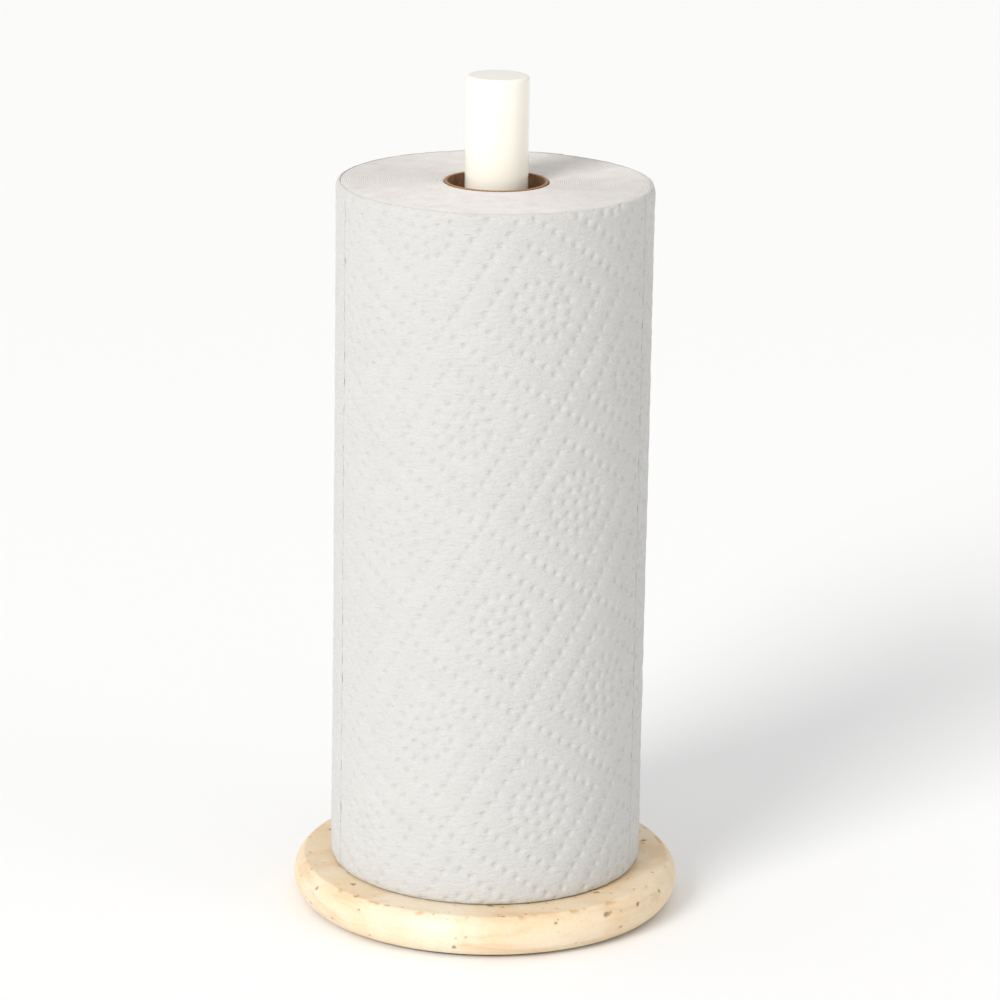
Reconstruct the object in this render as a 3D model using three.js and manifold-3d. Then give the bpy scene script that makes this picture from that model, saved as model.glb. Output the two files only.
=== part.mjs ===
// Paper towel holder: a round stone base, an enamelled tube post screwed to it from below,
// and the towel roll that stands on the base around the post.
// Millimetres, +Z up, origin at the centre of the base pad's underside.
import * as THREE from "three";
import { mergeVertices } from "three/addons/utils/BufferGeometryUtils.js";
import Module from "manifold-3d";

const wasm = await Module();
wasm.setup();

// Clearances
const SEAT_GAP = 0.3; // between two faces that bear on each other
const BORE_GAP = 0.3; // radial, between a piece and the hole it fills
const DRILL_GAP = 0.5; // radial, between the screw and the stone it passes through
const SPIN_GAP = 0.3; // radial, between the roll's core and the paper that turns on it

// Base
const STONE_RADIUS = 78;
const STONE_THICKNESS = 16;
const STONE_BULGE = 4; // how far the edge swells past the flat top and bottom
const STONE_ARRIS = 0.5; // softened corner between the flat face and the edge
const PAD_THICKNESS = 1.5;
const PAD_INSET = 3; // from the stone's flat underside to the pad's rim
const PAD_ACCESS_MARGIN = 2; // the pad's hole is wider than the counterbore by this

// Post
const POST_RADIUS = 12.5;
const POST_LENGTH = 320;
const POST_WALL = 1.2;
const POST_EDGE_RADIUS = 1.5;
const PLUG_HEIGHT = 15;
const PLUG_CHAMFER = 1;
const GASKET_THICKNESS = 1;

// Screw and washers
const SCREW_RADIUS = 3;
const SCREW_LENGTH = 25;
const HEAD_RADIUS = 5.25;
const HEAD_HEIGHT = 3.3;
const HEAD_SHOULDER_RADIUS = 4.5; // half way down the dome of the head
const HEAD_SHOULDER_DEPTH = 0.8;
const HEAD_FACE_RADIUS = 2.9; // the flat round the socket
const HEAD_RIM_HEIGHT = 1; // the straight side of the head
const HEX_ACROSS_FLATS = 4;
const HEX_DEPTH = 2;
const SCREW_TIP_CHAMFER = 1;
const LOCK_WASHER_RADIUS = 5.9;
const LOCK_WASHER_THICKNESS = 1.6;
const LOCK_WASHER_SPLIT = 0.8;
const LOCK_WASHER_SLANT = THREE.MathUtils.degToRad(25);
const FLAT_WASHER_RADIUS = 9;
const FLAT_WASHER_THICKNESS = 1.6;
const RUBBER_WASHER_RADIUS = 10;
const RUBBER_WASHER_THICKNESS = 1.5;
const WASHER_BORE_GAP = 0.3; // radial, between the screw and each washer
const WASHER_ROOM = 2; // radial, between the widest washer and the counterbore
const HEAD_RECESS = 0.6; // from the pad's underside up to the screw's head

// Roll
const ROLL_RADIUS = 62.8; // to the outside of the outer turn, half way round it
const ROLL_HEIGHT = 279.4;
const CORE_BORE_RADIUS = 19.3;
const CORE_WALL = 1.2;
const SHEET_THICKNESS = 0.6;
const SHEET_LENGTH = 150; // between two lines of perforation
const SHEET_GAP = 0.3; // radial, between the outer turn and the winding, and along it at a perforation
const FACING_ANGLE = -Math.PI / 2; // the middle of the second sheet faces the front

// Facets round a full turn
const STONE_SIDES = 72;
const POST_SIDES = 48;
const HARDWARE_SIDES = 32;
const ROLL_SIDES = 72;
const BULGE_STEPS = 8;
const EDGE_STEPS = 4;

// Heights, each worked out from the pieces below it
const STONE_BOTTOM = PAD_THICKNESS + SEAT_GAP;
const STONE_TOP = STONE_BOTTOM + STONE_THICKNESS;
const GASKET_BOTTOM = STONE_TOP + SEAT_GAP;
const POST_BOTTOM = GASKET_BOTTOM + GASKET_THICKNESS + SEAT_GAP;
const ROLL_BOTTOM = STONE_TOP + SEAT_GAP;
const HEAD_TOP = HEAD_RECESS + HEAD_HEIGHT;
const LOCK_WASHER_BOTTOM = HEAD_TOP + SEAT_GAP;
const FLAT_WASHER_BOTTOM = LOCK_WASHER_BOTTOM + LOCK_WASHER_THICKNESS + SEAT_GAP;
const RUBBER_WASHER_BOTTOM = FLAT_WASHER_BOTTOM + FLAT_WASHER_THICKNESS + SEAT_GAP;
const COUNTERBORE_DEPTH = RUBBER_WASHER_BOTTOM + RUBBER_WASHER_THICKNESS + SEAT_GAP - STONE_BOTTOM;
const COUNTERBORE_RADIUS = RUBBER_WASHER_RADIUS + WASHER_ROOM;

const MATERIALS = {
  stone: { color: 0xd9c7a6, roughness: 0.45, metalness: 0 },
  rubber: { color: 0x2b2a28, roughness: 0.9, metalness: 0 },
  enamel: { color: 0xf6efdc, roughness: 0.22, metalness: 0.1 },
  steel: { color: 0xb9bbbd, roughness: 0.35, metalness: 1 },
  cardboard: { color: 0x9b7350, roughness: 0.85, metalness: 0 },
  winding: { color: 0xe4e0dc, roughness: 0.95, metalness: 0 },
  paper: { color: 0xecece9, roughness: 0.95, metalness: 0 },
};

const holder = new THREE.Group();

function addPiece(name, geometry, look, z = 0) {
  const mesh = new THREE.Mesh(geometry, new THREE.MeshStandardMaterial(MATERIALS[look]));
  mesh.name = name;
  mesh.position.z = z;
  holder.add(mesh);
  return mesh;
}

// A profile of [radius, height] pairs spun about Z. It runs so that the solid lies on its left.
function spin(profile, sides) {
  const points = profile.map(([r, z]) => new THREE.Vector2(r, z));
  return new THREE.LatheGeometry(points, sides).rotateX(Math.PI / 2);
}

// A flat ring with its lower face at height 0.
function ring(inner, outer, height, sides) {
  const profile = [
    [inner, 0],
    [outer, 0],
    [outer, height],
    [inner, height],
    [inner, 0],
  ];
  return spin(profile, sides);
}

// Points of an arc about (cx, cz), both ends included.
function arc(cx, cz, radius, from, to, steps) {
  return Array.from({ length: steps + 1 }, (_, i) => {
    const angle = from + ((to - from) * i) / steps;
    return [cx + radius * Math.cos(angle), cz + radius * Math.sin(angle)];
  });
}

function toSolid(geometry) {
  const bare = geometry.clone();
  bare.deleteAttribute("normal");
  bare.deleteAttribute("uv");
  const merged = mergeVertices(bare, 1e-4);
  const vertProperties = new Float32Array(merged.attributes.position.array);
  const triVerts = new Uint32Array(merged.index.array);
  return new wasm.Manifold(new wasm.Mesh({ numProp: 3, vertProperties, triVerts }));
}

function toGeometry(solid) {
  const { vertProperties, triVerts } = solid.getMesh();
  const geometry = new THREE.BufferGeometry();
  geometry.setAttribute("position", new THREE.BufferAttribute(vertProperties, 3));
  geometry.setIndex(new THREE.BufferAttribute(triVerts, 1));
  return geometry;
}

function cut(geometry, cutter) {
  return toGeometry(toSolid(geometry).subtract(toSolid(cutter)));
}

// A round slab with flat faces and a swelling edge, drilled through and counterbored from below.
function baseStone() {
  const flat = STONE_RADIUS - STONE_BULGE;
  const half = STONE_THICKNESS / 2;
  const edgeHalf = half - STONE_ARRIS;
  const edgeRadius = (edgeHalf ** 2 + STONE_BULGE ** 2) / (2 * STONE_BULGE);
  const sweep = Math.asin(edgeHalf / edgeRadius);
  const drill = SCREW_RADIUS + DRILL_GAP;
  const profile = [
    [COUNTERBORE_RADIUS, 0],
    [flat - STONE_ARRIS, 0],
    ...arc(STONE_RADIUS - edgeRadius, half, edgeRadius, -sweep, sweep, BULGE_STEPS),
    [flat - STONE_ARRIS, STONE_THICKNESS],
    [drill, STONE_THICKNESS],
    [drill, COUNTERBORE_DEPTH],
    [COUNTERBORE_RADIUS, COUNTERBORE_DEPTH],
    [COUNTERBORE_RADIUS, 0],
  ];
  addPiece("base_stone", spin(profile, STONE_SIDES), "stone", STONE_BOTTOM);
}

function basePad() {
  const inner = COUNTERBORE_RADIUS + PAD_ACCESS_MARGIN;
  const outer = STONE_RADIUS - STONE_BULGE - STONE_ARRIS - PAD_INSET;
  addPiece("base_pad", ring(inner, outer, PAD_THICKNESS, STONE_SIDES), "rubber");
}

// A tube closed at the top, with a rounded top edge, and open at the bottom.
function postTube() {
  const bore = POST_RADIUS - POST_WALL;
  const shoulder = POST_LENGTH - POST_EDGE_RADIUS;
  const edgeCentre = POST_RADIUS - POST_EDGE_RADIUS;
  const profile = [
    [0, POST_LENGTH - POST_WALL],
    [edgeCentre, POST_LENGTH - POST_WALL],
    [bore, shoulder],
    [bore, 0],
    [POST_RADIUS, 0],
    ...arc(edgeCentre, shoulder, POST_EDGE_RADIUS, 0, Math.PI / 2, EDGE_STEPS),
    [0, POST_LENGTH],
  ];
  addPiece("post_tube", spin(profile, POST_SIDES), "enamel", POST_BOTTOM);
}

// The threaded steel insert in the post's lower end, which the screw pulls down.
function postPlug() {
  const outer = POST_RADIUS - POST_WALL - BORE_GAP;
  const inner = SCREW_RADIUS + BORE_GAP;
  const profile = [
    [inner, 0],
    [outer, 0],
    [outer, PLUG_HEIGHT - PLUG_CHAMFER],
    [outer - PLUG_CHAMFER, PLUG_HEIGHT],
    [inner, PLUG_HEIGHT],
    [inner, 0],
  ];
  addPiece("post_plug", spin(profile, POST_SIDES), "steel", POST_BOTTOM);
}

function postGasket() {
  const inner = SCREW_RADIUS + DRILL_GAP;
  addPiece("post_gasket", ring(inner, POST_RADIUS, GASKET_THICKNESS, POST_SIDES), "rubber", GASKET_BOTTOM);
}

// A button-head screw standing on its head, with a hexagon socket sunk into the head from below.
function fixingScrew() {
  const tip = HEAD_HEIGHT + SCREW_LENGTH;
  const profile = [
    [0, 0],
    [HEAD_FACE_RADIUS, 0],
    [HEAD_SHOULDER_RADIUS, HEAD_SHOULDER_DEPTH],
    [HEAD_RADIUS, HEAD_HEIGHT - HEAD_RIM_HEIGHT],
    [HEAD_RADIUS, HEAD_HEIGHT],
    [SCREW_RADIUS, HEAD_HEIGHT],
    [SCREW_RADIUS, tip - SCREW_TIP_CHAMFER],
    [SCREW_RADIUS - SCREW_TIP_CHAMFER, tip],
    [0, tip],
  ];
  const cornerRadius = HEX_ACROSS_FLATS / Math.sqrt(3);
  const socket = new THREE.CylinderGeometry(cornerRadius, cornerRadius, 2 * HEX_DEPTH, 6);
  socket.rotateX(Math.PI / 2);
  const screw = cut(spin(profile, HARDWARE_SIDES), socket);
  addPiece("fixing_screw", screw, "steel", HEAD_RECESS);
}

// A spring washer: a ring cut through at one place by a slanted slot.
function lockWasher() {
  const inner = SCREW_RADIUS + WASHER_BORE_GAP;
  const whole = ring(inner, LOCK_WASHER_RADIUS, LOCK_WASHER_THICKNESS, HARDWARE_SIDES);
  const reach = LOCK_WASHER_RADIUS + 1;
  const slot = new THREE.BoxGeometry(reach, LOCK_WASHER_SPLIT, 4 * LOCK_WASHER_THICKNESS)
    .rotateX(LOCK_WASHER_SLANT)
    .translate(reach / 2, 0, LOCK_WASHER_THICKNESS / 2);
  addPiece("lock_washer", cut(whole, slot), "steel", LOCK_WASHER_BOTTOM);
}

function plainWashers() {
  const inner = SCREW_RADIUS + WASHER_BORE_GAP;
  const flat = ring(inner, FLAT_WASHER_RADIUS, FLAT_WASHER_THICKNESS, HARDWARE_SIDES);
  const rubber = ring(inner, RUBBER_WASHER_RADIUS, RUBBER_WASHER_THICKNESS, HARDWARE_SIDES);
  addPiece("flat_washer", flat, "steel", FLAT_WASHER_BOTTOM);
  addPiece("rubber_washer", rubber, "rubber", RUBBER_WASHER_BOTTOM);
}

// The paper is a spiral: one turn in from any point lies a sheet and its gap nearer the axis.
const TURN_STEP = SHEET_THICKNESS + SHEET_GAP;
const SHEET_ANGLE = SHEET_LENGTH / ROLL_RADIUS;
const TAIL_ANGLE = FACING_ANGLE - 1.5 * SHEET_ANGLE; // the free end

// The outside of the paper at an angle past the free end, from 0 to one turn.
function outerRadius(turned) {
  return ROLL_RADIUS + TURN_STEP * (0.5 - turned / (2 * Math.PI));
}

function spiralPoint(turned, depth) {
  const radius = outerRadius(turned) - depth;
  const angle = TAIL_ANGLE + turned;
  return new THREE.Vector2(radius * Math.cos(angle), radius * Math.sin(angle));
}

// Points along the spiral at a depth below its outside, at most one facet apart.
function spiralPoints(from, to, depth) {
  const steps = Math.ceil(((to - from) * ROLL_SIDES) / (2 * Math.PI));
  return Array.from({ length: steps + 1 }, (_, i) => spiralPoint(from + ((to - from) * i) / steps, depth));
}

function rise(shape) {
  return new THREE.ExtrudeGeometry(shape, { depth: ROLL_HEIGHT, bevelEnabled: false });
}

function rollCore() {
  const outer = CORE_BORE_RADIUS + CORE_WALL;
  addPiece("roll_core", ring(CORE_BORE_RADIUS, outer, ROLL_HEIGHT, ROLL_SIDES), "cardboard", ROLL_BOTTOM);
}

// All the turns under the outer one, as one solid with a step where the outer turn leaves it.
function paperWinding() {
  const shape = new THREE.Shape(spiralPoints(0, 2 * Math.PI, TURN_STEP));
  const bore = new THREE.Path();
  bore.absarc(0, 0, CORE_BORE_RADIUS + CORE_WALL + SPIN_GAP, 0, 2 * Math.PI, true);
  shape.holes.push(bore);
  const geometry = new THREE.ExtrudeGeometry(shape, {
    depth: ROLL_HEIGHT,
    bevelEnabled: false,
    curveSegments: ROLL_SIDES,
  });
  addPiece("paper_winding", geometry, "winding", ROLL_BOTTOM);
}

// The outer turn, from the free end round to where it dives under itself, in perforated sheets.
function outerSheets() {
  const gapAngle = SHEET_GAP / ROLL_RADIUS;
  const sheets = Math.ceil((2 * Math.PI) / SHEET_ANGLE);
  for (let i = 0; i < sheets; i += 1) {
    const from = i * SHEET_ANGLE;
    const to = Math.min((i + 1) * SHEET_ANGLE, 2 * Math.PI) - gapAngle;
    const outside = spiralPoints(from, to, 0);
    const inside = spiralPoints(from, to, SHEET_THICKNESS).reverse();
    addPiece(`outer_sheet_${i + 1}`, rise(new THREE.Shape([...outside, ...inside])), "paper", ROLL_BOTTOM);
  }
}

basePad();
baseStone();
fixingScrew();
lockWasher();
plainWashers();
postGasket();
postPlug();
postTube();
rollCore();
paperWinding();
outerSheets();

export default holder;
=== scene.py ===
"""A paper towel holder with its roll: a travertine base, an enamelled post, and embossed towel paper.

Every piece is made in metres in the frame's own coordinates, where Z is up along the post.
"""

import itertools
import math

import bpy
import numpy as np
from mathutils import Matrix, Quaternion, Vector


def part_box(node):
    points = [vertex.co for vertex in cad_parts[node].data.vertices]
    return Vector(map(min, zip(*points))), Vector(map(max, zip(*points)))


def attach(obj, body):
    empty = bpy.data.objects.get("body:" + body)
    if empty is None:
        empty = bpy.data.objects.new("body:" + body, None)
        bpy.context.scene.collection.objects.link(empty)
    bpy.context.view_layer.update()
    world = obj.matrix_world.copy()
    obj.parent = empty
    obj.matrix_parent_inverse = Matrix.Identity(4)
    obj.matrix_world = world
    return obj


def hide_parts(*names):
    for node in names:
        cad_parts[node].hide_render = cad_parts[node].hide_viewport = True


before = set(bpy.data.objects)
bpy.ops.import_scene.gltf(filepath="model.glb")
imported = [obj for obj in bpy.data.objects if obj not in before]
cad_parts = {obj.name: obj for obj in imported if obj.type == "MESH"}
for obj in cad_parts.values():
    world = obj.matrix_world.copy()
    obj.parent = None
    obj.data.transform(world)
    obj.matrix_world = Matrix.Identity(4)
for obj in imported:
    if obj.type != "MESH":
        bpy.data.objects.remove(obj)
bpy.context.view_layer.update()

bl_info = {
    "name": "Paper Towel Holder",
    "version": (1, 0, 0),
    "blender": (4, 5, 0),
    "location": "3D View > Sidebar > Towel Holder",
    "description": "Makes a stone and enamel paper towel holder with a roll of embossed towel paper",
    "category": "Add Mesh",
}

MM = 0.001
TURN = 2 * math.pi
FRONT = -math.pi / 2
CAD_GAP = 0.3 * MM  # between neighbouring CAD pieces


# ---------------------------------------------------------------- sizes read from the frame


def polar(node):
    """Radius and angle of each vertex of a CAD node about the post's axis."""
    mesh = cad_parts[node].data
    points = np.zeros(len(mesh.vertices) * 3)
    mesh.vertices.foreach_get("co", points)
    x, y, _ = points.reshape(-1, 3).T
    return np.hypot(x, y), np.arctan2(y, x)


def heights(node):
    """Lowest and highest point of a CAD node."""
    low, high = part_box(node)
    return low.z, high.z


def sector(node):
    """Start and end angle of a curved sheet round the axis, and its outer radius at each.

    The angles are sorted; the widest empty stretch between two of them is what it leaves open.
    """
    radius, angle = polar(node)
    order = np.argsort(angle)
    radius, angle = radius[order], angle[order]
    steps = np.diff(np.append(angle, angle[0] + TURN))
    first = (int(np.argmax(steps)) + 1) % len(angle)
    radius, angle = np.roll(radius, -first), np.roll(angle, -first)
    angle = np.where(angle < angle[0], angle + TURN, angle)
    nearby = 1e-3
    return (
        angle[0],
        angle[-1],
        radius[angle < angle[0] + nearby].max(),
        radius[angle > angle[-1] - nearby].max(),
    )


SHEETS = ("outer_sheet_1", "outer_sheet_2", "outer_sheet_3")
TAIL_ANGLE, _, TAIL_RADIUS, _ = sector(SHEETS[0])
_, _, _, LAST_RADIUS = sector(SHEETS[-1])
TURN_STEP = TAIL_RADIUS - LAST_RADIUS
ROLL_BOTTOM, ROLL_TOP = heights(SHEETS[0])
ROLL_RADIUS = (TAIL_RADIUS + LAST_RADIUS) / 2
STONE_BOTTOM, STONE_TOP = heights("base_stone")


# ---------------------------------------------------------------- surfaces


def lattice_noise(points, size, seed):
    """Smooth random values from -1 to 1 that change over about the given size.

    Each whole-number point of the scaled space has a random number made by mixing its coordinates;
    a point takes the eight around it, weighted by 3t^2 - 2t^3 along each axis.
    """
    scaled = points / size
    cell = np.floor(scaled).astype(np.int64)
    part = scaled - cell
    part = part * part * (3 - 2 * part)
    total = np.zeros(len(points))
    for corner in itertools.product((0, 1), repeat=3):
        x, y, z = (cell + corner).T
        mixed = (x * 73856093) ^ (y * 19349663) ^ (z * 83492791) ^ (seed * 2654435761)
        mixed = ((mixed ^ (mixed >> 13)) * 1274126177) & 0xFFFFFFFF
        mixed = ((mixed ^ (mixed >> 16)) * 2246822519) & 0xFFFFFFFF
        value = ((mixed >> 8) & 0xFFFF) / 0x7FFF - 1
        total += value * np.prod(np.where(corner, part, 1 - part), axis=1)
    return total


def layered_noise(points, size, seed, layers=3):
    """Lattice noise added to copies of itself at half the size and half the strength."""
    copies = range(layers)
    return sum(lattice_noise(points, size / 2**i, seed + i) / 2**i for i in copies)


def smooth_step(low, high, value):
    """0 below low, 1 above high, and 3t^2 - 2t^3 between."""
    part = np.clip((value - low) / (high - low), 0, 1)
    return part * part * (3 - 2 * part)


def rounded(corners, radii, steps=4, support=0.12 * MM):
    """A profile of straight stretches whose corners are turned into arcs.

    Each corner is cut where a circle of its radius touches both stretches, at radius / tan(half the
    angle between them), and the arc is blended from the two touching points by its own angle. A
    support point stands just outside each end of an arc, so that flat faces shade flat. A radius of
    0 keeps the corner.
    """
    corners = np.asarray(corners, float)
    points = []
    for i, (corner, radius) in enumerate(zip(corners, radii)):
        if not radius:
            points.append(corner)
            continue
        back = corners[i - 1] - corner
        ahead = corners[(i + 1) % len(corners)] - corner
        back, ahead = back / np.linalg.norm(back), ahead / np.linalg.norm(ahead)
        half = math.acos(np.clip(back @ ahead, -1, 1)) / 2
        reach = radius / math.tan(half)
        middle = corner + (back + ahead) / np.linalg.norm(back + ahead) * radius / math.sin(half)
        start, end = corner + back * reach - middle, corner + ahead * reach - middle
        sweep = math.pi - 2 * half
        points.append(middle + start + back * support)
        for t in np.linspace(0, 1, steps + 1):
            share = math.sin((1 - t) * sweep), math.sin(t * sweep)
            points.append(middle + (start * share[0] + end * share[1]) / math.sin(sweep))
        points.append(middle + end + ahead * support)
    return np.array(points)


def refined(profile, spacing, closed=True):
    """The same profile with points added so that no two lie further apart than the spacing."""
    ends = np.roll(profile, -1, axis=0) if closed else profile[1:]
    starts = profile if closed else profile[:-1]
    made = []
    for start, end in zip(starts, ends):
        count = max(1, math.ceil(np.linalg.norm(end - start) / spacing))
        made.append(start + (end - start) * np.arange(count)[:, None] / count)
    if not closed:
        made.append(profile[-1:])
    return np.concatenate(made)


def around(radius, angle, height):
    """Points at a radius, angle and height about the axis, from arrays that spread to one shape."""
    x, y, z = np.broadcast_arrays(radius * np.cos(angle), radius * np.sin(angle), height)
    return np.stack([x, y, z], axis=-1)


def about_axis(points):
    """Each point's distance from the axis and its angle round it."""
    return np.hypot(points[:, 0], points[:, 1]), np.arctan2(points[:, 1], points[:, 0])


def moved_out(points, scale):
    """The points with their distance from the axis multiplied by a scale."""
    return points * np.column_stack([scale, scale, np.ones(len(points))])


def carried_round(profile, columns):
    """A grid of points, one row for each profile point (radius, height) and one column an angle."""
    angle = np.arange(columns) * TURN / columns
    return around(profile[:, :1], angle, profile[:, 1:])


def grid_quads(rows, columns, wrap_rows, wrap_columns):
    """Corner numbers of the squares of a grid that is numbered row by row."""
    row = np.arange(rows if wrap_rows else rows - 1)
    column = np.arange(columns if wrap_columns else columns - 1)
    row, column = (x.ravel() for x in np.meshgrid(row, column, indexing="ij"))
    next_row, next_column = (row + 1) % rows, (column + 1) % columns
    return np.stack(
        [
            row * columns + column,
            row * columns + next_column,
            next_row * columns + next_column,
            next_row * columns + column,
        ],
        axis=1,
    )


def pole_fans(rows, columns, first_pole, last_pole):
    """Triangles from a pole, numbered after the grid, to the first or last row round it."""
    here = np.arange(columns)
    ahead = (here + 1) % columns
    pole = rows * columns
    fans = []
    if first_pole:
        fans.append(np.stack([np.full(columns, pole), ahead, here], axis=1))
        pole += 1
    if last_pole:
        base = (rows - 1) * columns
        fans.append(np.stack([np.full(columns, pole), base + here, base + ahead], axis=1))
    return np.concatenate(fans) if fans else np.zeros((0, 3), int)


def add_piece(name, points, quads, triangles=None, uv=None, attributes=None, flat_caps=False):
    """A smooth-shaded mesh object from arrays of points and faces; its triangles may be left flat."""
    triangles = np.zeros((0, 3), int) if triangles is None else triangles
    corners = np.concatenate([quads.ravel(), triangles.ravel()]).astype(np.int32)
    starts = np.concatenate([np.arange(len(quads)) * 4, quads.size + np.arange(len(triangles)) * 3])
    mesh = bpy.data.meshes.new(name)
    mesh.vertices.add(len(points))
    mesh.vertices.foreach_set("co", np.asarray(points, np.float32).ravel())
    mesh.loops.add(len(corners))
    mesh.loops.foreach_set("vertex_index", corners)
    mesh.polygons.add(len(starts))
    mesh.polygons.foreach_set("loop_start", starts.astype(np.int32))
    mesh.polygons.foreach_set("use_smooth", (np.arange(len(starts)) < len(quads)) | (not flat_caps))
    mesh.update(calc_edges=True)
    if uv is not None:
        layer = mesh.uv_layers.new(name="sheet_map")
        layer.data.foreach_set("uv", np.asarray(uv, np.float32)[corners].ravel())
    for key, values in (attributes or {}).items():
        layer = mesh.attributes.new(key, "FLOAT", "POINT")
        layer.data.foreach_set("value", np.asarray(values, np.float32))
    piece = bpy.data.objects.new(name, mesh)
    bpy.context.scene.collection.objects.link(piece)
    return piece


def turned_piece(name, profile, columns, shape=None, closed=True):
    """A piece turned about the Z axis from a profile that keeps its solid on the left.

    A closed profile joins its last point to its first. An open one starts and ends on the axis, where
    a single pole point closes it. shape(points) may move the points and return them with attributes.
    """
    poles = [] if closed else [profile[0], profile[-1]]
    body = profile if closed else profile[1:-1]
    points = carried_round(body, columns).reshape(-1, 3)
    if poles:
        points = np.concatenate([points, [[0, 0, pole[1]] for pole in poles]])
    attributes = {}
    if shape:
        points, attributes = shape(points)
    quads = grid_quads(len(body), columns, closed, True)
    triangles = None if closed else pole_fans(len(body), columns, True, True)
    return add_piece(name, points, quads, triangles, attributes=attributes)


def settle(piece, body, slot, material, *nodes):
    """Gives a finished piece its material and its body, and hides the nodes it stands for; the slot is
    not used.
    """
    piece.data.materials.append(material)
    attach(piece, body)
    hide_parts(*nodes)
    return piece


# ---------------------------------------------------------------- materials


class Recipe:
    """A material being put together: its node tree, its shader, and short ways to add to them."""

    def __init__(self, name, colour, roughness, **shader):
        self.material = bpy.data.materials.new(name)
        self.material.use_nodes = True
        self.tree = self.material.node_tree
        self.shader = self.tree.nodes["Principled BSDF"]
        self.shader.inputs["Base Color"].default_value = (*colour, 1)
        self.shader.inputs["Roughness"].default_value = roughness
        for key, value in shader.items():
            self.shader.inputs[key.replace("_", " ")].default_value = value

    def add(self, kind, inputs=None, **settings):
        node = self.tree.nodes.new(kind)
        for key, value in settings.items():
            setattr(node, key, value)
        for key, value in (inputs or {}).items():
            if isinstance(value, bpy.types.NodeSocket):
                self.tree.links.new(value, node.inputs[key])
            else:
                node.inputs[key].default_value = value
        return node

    def place(self, stretch=(1, 1, 1), source="Object", turn=0.0):
        """The piece's own coordinates, turned about Z and then stretched."""
        if source == "Object":
            where = self.add("ShaderNodeTexCoord").outputs["Object"]
        else:
            where = self.add("ShaderNodeUVMap", uv_map=source).outputs["UV"]
        if turn:
            turned = {"Vector": where, "Rotation": (0, 0, turn)}
            where = self.add("ShaderNodeMapping", turned).outputs["Vector"]
        return self.add("ShaderNodeMapping", {"Vector": where, "Scale": stretch}).outputs["Vector"]

    def noise(self, size, detail=3.0, where=None, twist=0.0):
        """Cloudy noise whose features are about size across, in metres."""
        inputs = {
            "Vector": where or self.place(),
            "Scale": 1 / size,
            "Detail": detail,
            "Roughness": 0.55,
            "Distortion": twist,
        }
        return self.add("ShaderNodeTexNoise", inputs).outputs["Fac"]

    def attribute(self, name):
        return self.add("ShaderNodeAttribute", attribute_name=name).outputs["Fac"]

    def spread(self, value, low, high, to_low=0.0, to_high=1.0):
        """A value's stretch from low to high, brought to another stretch and held there."""
        inputs = {"Value": value, "From Min": low, "From Max": high, "To Min": to_low, "To Max": to_high}
        return self.add("ShaderNodeMapRange", inputs, clamp=True).outputs["Result"]

    def math(self, operation, first, second=0.0):
        node = self.add("ShaderNodeMath", operation=operation)
        for socket, value in zip(node.inputs, (first, second)):
            if isinstance(value, bpy.types.NodeSocket):
                self.tree.links.new(value, socket)
            else:
                socket.default_value = value
        return node.outputs["Value"]

    def blend(self, share, first, second):
        """Two colours mixed by a share; each is a socket or three numbers."""
        node = self.add("ShaderNodeMix", data_type="RGBA", blend_type="MIX")
        sockets = node.inputs[0], node.inputs[6], node.inputs[7]
        for socket, value in zip(sockets, (share, first, second)):
            if isinstance(value, bpy.types.NodeSocket):
                self.tree.links.new(value, socket)
            elif isinstance(value, (int, float)):
                socket.default_value = value
            else:
                socket.default_value = (*value, 1)
        return node.outputs[2]

    def feed(self, socket, value):
        self.tree.links.new(value, self.shader.inputs[socket])

    def bump(self, height, distance):
        """Raises the shading normal by a height from 0 to 1, over the last bump made."""
        inputs = {"Height": height, "Distance": distance, "Strength": 1.0}
        if self.shader.inputs["Normal"].is_linked:
            inputs["Normal"] = self.shader.inputs["Normal"].links[0].from_socket
        self.feed("Normal", self.add("ShaderNodeBump", inputs).outputs["Normal"])


def travertine(look):
    """Honed travertine: clouded cream with faint beds, brown pinholes, and darker open pits."""
    made = Recipe("honed_travertine", look.light_colour, 0.42, Specular_IOR_Level=0.45)
    clouds = made.noise(0.034, 4.0, twist=0.6)
    beds = made.noise(0.020, 5.0, where=made.place((0.55, 0.8, 3.2)), twist=0.9)
    grain = made.noise(0.0016, 2.0)
    colour = made.blend(made.spread(clouds, 0.36, 0.66), look.light_colour, look.dark_colour)
    colour = made.blend(made.spread(beds, 0.5, 0.72, 0, 0.55), colour, look.vein_colour)
    colour = made.blend(made.spread(grain, 0.35, 0.75, 0, 0.16), colour, look.vein_colour)
    cells = {"Vector": made.place((1, 1, 1.3)), "Scale": 1 / 0.0034, "Randomness": 1.0}
    holes = made.add("ShaderNodeTexVoronoi", cells)
    small = made.spread(holes.outputs["Distance"], 0.09, 0.2, 1, 0)
    chosen = made.add("ShaderNodeSeparateColor", {"Color": holes.outputs["Color"]}).outputs["Red"]
    patches = made.spread(made.noise(0.018, 2.0), 0.42, 0.62)
    small = made.math("MULTIPLY", small, made.spread(chosen, 0.62, 0.72))
    small = made.math("MULTIPLY", small, patches)
    colour = made.blend(made.math("MULTIPLY", small, 0.75), colour, look.pit_colour)
    pits = made.attribute("pit")
    colour = made.blend(made.math("MULTIPLY", made.attribute("chip"), 0.9), colour, look.vein_colour)
    colour = made.blend(made.spread(pits, 0.12, 0.75, 0, 0.85), colour, look.pit_colour)
    made.feed("Base Color", colour)
    rough = made.spread(made.noise(0.012, 3.0), 0.3, 0.7, 0.34, 0.5)
    made.feed("Roughness", made.math("ADD", rough, made.math("MULTIPLY", pits, 0.4)))
    made.bump(grain, 0.00004)
    made.bump(made.math("SUBTRACT", 1.0, small), 0.0004)
    return made.material


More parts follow.
